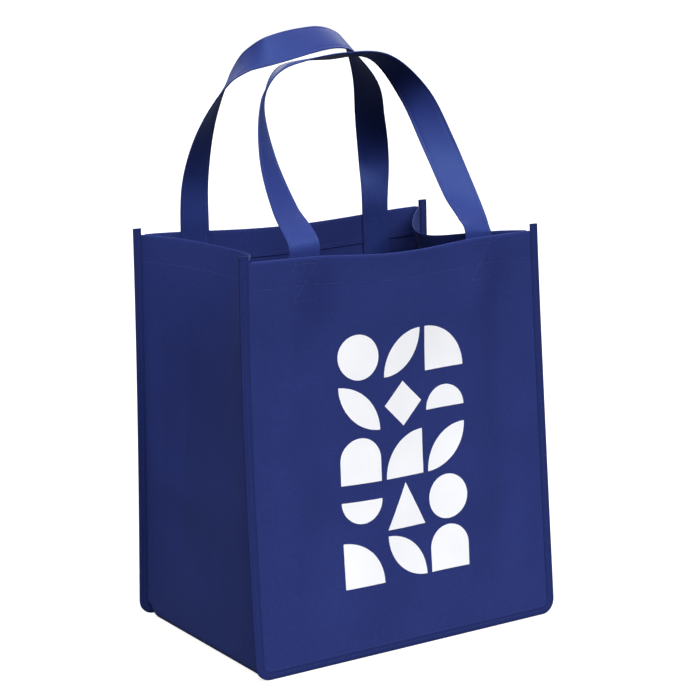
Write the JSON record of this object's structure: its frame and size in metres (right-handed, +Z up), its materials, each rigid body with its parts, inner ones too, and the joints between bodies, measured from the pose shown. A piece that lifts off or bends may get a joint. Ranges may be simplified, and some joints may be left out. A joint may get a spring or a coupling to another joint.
{
  "type": "non-woven bag",
  "caption": "Open shopping bag of navy non-woven cloth with folded side gussets, bound seams, two webbing handles, a base board and a white geometric print.",
  "frame": {"origin": "on the floor, under the middle of the bag's flat bottom", "axes": "+Z up, the printed front faces -Y, +X to the right of someone who looks at the front"},
  "size_m": [0.3548, 0.2336, 0.5841],
  "materials": {
    "cloth": "matt navy spun-bonded cloth with a fine embossed grid",
    "tape": "matt navy non-woven binding tape",
    "webbing": "navy folded non-woven webbing with a slight sheen",
    "ink": "matt white screen print",
    "board": "matt grey stiff board"
  },
  "bodies": {
    "root": {"front_panel": "cloth", "back_panel": "cloth", "gusset_strip": "cloth", "front_binding": "tape", "back_binding": "tape", "front_handle": "webbing", "back_handle": "webbing", "base_board": "board", "print_row1_1": "ink", "print_row1_2": "ink", "print_row1_3": "ink", "print_row2_1": "ink", "print_row2_2": "ink", "print_row2_3": "ink", "print_row3_1": "ink", "print_row3_2": "ink", "print_row3_3": "ink", "print_row4_1": "ink", "print_row4_2": "ink", "print_row4_3": "ink", "print_row5_1": "ink", "print_row5_2": "ink", "print_row5_3": "ink"}
  },
  "joints": []
}
